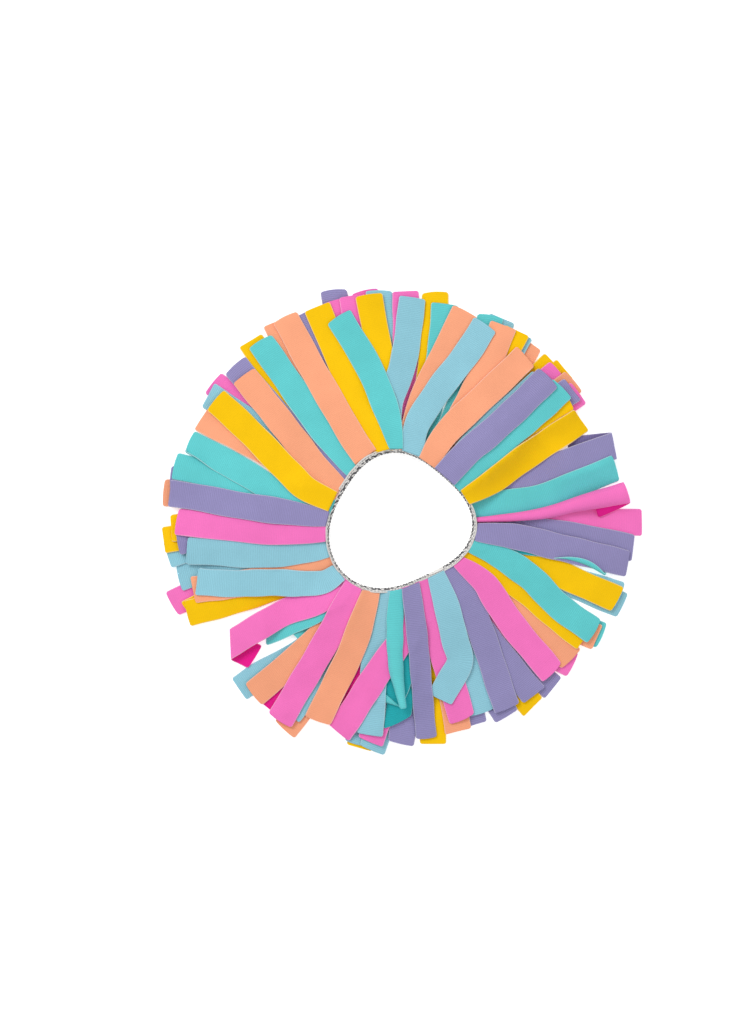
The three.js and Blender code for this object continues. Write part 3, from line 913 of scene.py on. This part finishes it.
def thread():
    """A twisted polyester sewing thread."""
    n = Nodes("sewing_thread")
    across, along, _ = n.weave()
    twist = n.wave(n.maths("ADD", along, across), THREAD_PITCH)
    colour = n.toned(with_alpha(THREAD_GREY), n.maths("MULTIPLY_ADD", twist, 0.15, 0.95))
    n.bump(twist, 0.4, THREAD_RELIEF)
    return n.finish(colour, Roughness=0.5)


def floor_material():
    """A pale floor that glows a little, so that its shadows stay soft and light."""
    n = Nodes("studio_floor")
    place = n.add("TexCoord").outputs["Object"]
    value = n.maths("MULTIPLY_ADD", n.noise(place, 6), 0.01, 0.99)
    return n.finish(n.toned(with_alpha(FLOOR_WHITE), value), Roughness=0.9,
                    Emission_Color=(1, 1, 1, 1), Emission_Strength=FLOOR_GLOW)


KNITS = {name: knit(name + "_knit", *values) for name, values in COLOURS.items()}
TAPES = {name: tape(name, name == "printed_band") for name in ("printed_band", "plain_band")}
THREAD = thread()


# ---- making the pieces ----

def finish_piece(piece, material, node):
    piece.data.materials.append(material)
    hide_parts(node)


def under_fringe(pile):
    """Each quarter's heading tape and the strips sewn to it."""
    for node, strips in UNDER_STRIPS.items():
        heading_piece(node, pile)
        counts = {}
        for colour, tip, reach, extras in strips:
            counts[colour] = counts.get(colour, 0) + 1
            name = f"{node.replace('fringe', colour)}_{counts[colour]}"
            draw.seed(name)
            root = extras.get("from", tip) + draw.uniform(-UNDER_SPREAD, UNDER_SPREAD)
            start_out = UNDER_START + draw.uniform(-UNDER_SPREAD, UNDER_SPREAD)
            line = strip_line(root, tip, reach, start_out, extras.get("via", ()))
            cut = Cut(line, turned(neck_normal(root), 90), extras)
            middle = lay(cut, pile, UNDER_ROOT_Z, extras)
            piece = strip_mesh(name, cut, middle, "flipped" in extras)
            finish_piece(piece, KNITS[colour], node)
            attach(piece, "collar")


def heading_piece(node, pile):
    """The flat tape that a quarter's under strips are sewn to."""
    bearings = np.linspace(*HEADINGS[node], HEADING_STATIONS)
    columns = COLUMNS * HEADING_WIDTH / 2
    out = OUTSIDE_BAND + HEADING_CLEARANCE + HEADING_WIDTH / 2 + columns
    plan = neck_point(bearings)[:, None] + neck_normal(bearings)[:, None] * out[:, None]
    height = np.full(plan.shape[:2], HEADING_Z)
    pile.cover(plan, height + FABRIC, np.ones(height.shape))
    grid = np.concatenate([plan, (height + FABRIC / 2)[..., None]], -1)
    along = along_line(plan[:, MIDDLE])
    piece = ribbon(node.replace("fringe", "heading"), grid[:, ::-1], along,
                   np.tile(columns, (len(along), 1)), FABRIC)
    finish_piece(piece, TAPES["plain_band"], node)
    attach(piece, "collar")


def top_fringe(pile):
    """The strips on top, in their order. A strip with a flap joint in the frame is left unparented;
    the others are attached to the collar.
    """
    hinges = {joint["child"]: joint for joint in frame["joints"]}
    counts = {}
    for colour, root, tip, reach, extras in TOP_STRIPS:
        counts[colour] = counts.get(colour, 0) + 1
        node = f"{colour}_strip_{counts[colour]}"
        draw.seed(node)
        root_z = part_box(node)[1].z / MM - PACKED_FABRIC
        start_out = OUTSIDE_BAND + float(lean(root, root_z / BAND_HEIGHT))
        if extras.get("over"):
            start_out = OVER_BAND_OUT + float(lean(root, 1))
            root_z = OVER_BAND_Z
        line = strip_line(root, tip, reach, start_out, extras.get("via", ()))
        cut = Cut(line, turned(neck_normal(root), 90), extras)
        middle = lay(cut, pile, root_z, extras)
        piece = strip_mesh(f"{node}_cloth", cut, middle, "flipped" in extras)
        finish_piece(piece, KNITS[colour], node)
        flap = hinges.get(f"{node}_flap")
        if flap:
            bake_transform(piece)
        else:
            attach(piece, "collar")


def band_piece(node, out, heights, bearings, slot, looped=True):
    """A tape that stands round the neck, with a slight ripple along its edges."""
    low, high = heights
    columns = low + (COLUMNS + 1) / 2 * (high - low)
    angle = np.radians(bearings)[:, None]
    risen = columns / BAND_HEIGHT
    ripple_out = EDGE_RIPPLE * np.sin(EDGE_RIPPLE_TURNS * angle + 1) * risen ** 2
    grid_bearings, grid_heights = np.meshgrid(bearings, columns, indexing="ij")
    middle = beside_band(grid_bearings, out + ripple_out + TAPE / 2, grid_heights)
    middle[..., 2] += EDGE_SWELL * np.sin(EDGE_SWELL_TURNS * angle) * risen
    along = along_line(middle[:, MIDDLE])
    piece = ribbon(node + "_woven", middle, along, np.tile(columns, (len(bearings), 1)), TAPE,
                   looped)
    finish_piece(piece, TAPES[slot], node)
    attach(piece, "collar")


def stitch(bearing, z):
    """The rings of points of one stitch, thick in the middle and sunk in at its ends."""
    points = []
    reach = np.degrees(STITCH_LENGTH / 2 / NECK_RADIUS)
    for share in STITCH_STATIONS:
        bow = 1 - share ** 2
        size = STITCH_SIZE / 2 * (STITCH_END_SIZE + (1 - STITCH_END_SIZE) * bow ** 0.5)
        for k in range(STITCH_SIDES):
            angle = 2 * math.pi * k / STITCH_SIDES
            out = size * math.cos(angle) + STITCH_DIVE * (1 - bow) - STITCH_SIZE / 2 - STITCH_GAP
            height = z + size * math.sin(angle) + STITCH_SLOPE * share
            points.append(beside_band(np.float64(bearing + share * reach), out, height))
    return points


def stitches(name, node, z):
    """A ring of separate stitches on the band's inner face, as one mesh."""
    points, faces = [], []
    count = int(2 * math.pi * NECK_RADIUS / STITCH_PITCH)
    sides = range(STITCH_SIDES)
    for bearing in np.arange(count) * 360 / count:
        base = len(points)
        points += stitch(bearing, z)
        last = len(points) - STITCH_SIDES
        for ring in range(base, last, STITCH_SIDES):
            for k in sides:
                a, b = ring + k, ring + (k + 1) % STITCH_SIDES
                faces.append((a, a + STITCH_SIDES, b + STITCH_SIDES, b))
        faces.append(tuple(base + k for k in sides))
        faces.append(tuple(last + k for k in reversed(sides)))
    points = np.array(points)
    points[:, :2] += CENTRE
    mesh = bpy.data.meshes.new(name)
    mesh.from_pydata((points * MM).tolist(), [], faces)
    layer = mesh.uv_layers.new(name="weave")
    for loop, spot in zip(mesh.loops, layer.data):
        place = mesh.vertices[loop.vertex_index].co
        spot.uv = (place.z, math.atan2(place.x, place.y) * NECK_RADIUS * MM)
    mesh.polygons.foreach_set("use_smooth", [True] * len(mesh.polygons))
    piece = linked(name, mesh)
    finish_piece(piece, THREAD, node)
    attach(piece, "collar")


def band():
    band_piece("band_tape", 0, TAPE_HEIGHTS, RING_BEARINGS, "printed_band")
    band_piece("band_backing", TAPE + TAPE_GAP, BACKING_HEIGHTS, RING_BEARINGS, "plain_band")
    band_piece("band_lap", -TAPE_GAP - TAPE, LAP_HEIGHTS, LAP_BEARINGS, "plain_band", looped=False)
    stitches("seam_stitches_lower", "seam_thread_lower", STITCH_MARGIN)
    stitches("seam_stitches_upper", "seam_thread_upper", BAND_HEIGHT - STITCH_MARGIN)


# ---- stage ----

def studio():
    """A pale floor, even light from all round and two soft panels."""
    floor_mesh = bpy.data.meshes.new("studio_floor")
    signs = ((-1, -1), (1, -1), (1, 1), (-1, 1))
    corners = [(x * FLOOR_REACH, y * FLOOR_REACH, 0) for x, y in signs]
    floor_mesh.from_pydata(corners, [], [(0, 1, 2, 3)])
    floor_mesh.materials.append(floor_material())
    linked("studio_floor", floor_mesh)

    world = bpy.data.worlds.new("studio_light")
    world.use_nodes = True
    backdrop = world.node_tree.nodes["Background"]
    backdrop.inputs["Color"].default_value = (1, 1, 1, 1)
    backdrop.inputs["Strength"].default_value = WORLD_STRENGTH
    bpy.context.scene.world = world
    for name, place, width, power in PANELS:
        data = bpy.data.lights.new(name, "AREA")
        data.energy = power
        data.size = width
        light = linked(name, data)
        light.location = place
        light.rotation_mode = "QUATERNION"
        light.rotation_quaternion = (-light.location).to_track_quat("-Z", "Y")


def camera():
    """Straight above the collar, which lies a little right of and below the middle of the view."""
    data = bpy.data.cameras.new("camera")
    data.lens = CAMERA_LENS
    data.sensor_width = CAMERA_SENSOR
    made = linked("camera", data)
    made.location = (*(CENTRE + VIEW_OFFSET) * MM, CAMERA_HEIGHT)
    bpy.context.scene.camera = made


studio()
camera()
bpy.context.scene.view_settings.view_transform = "Standard"

band()
laid = Pile()
under_fringe(laid)
top_fringe(laid)
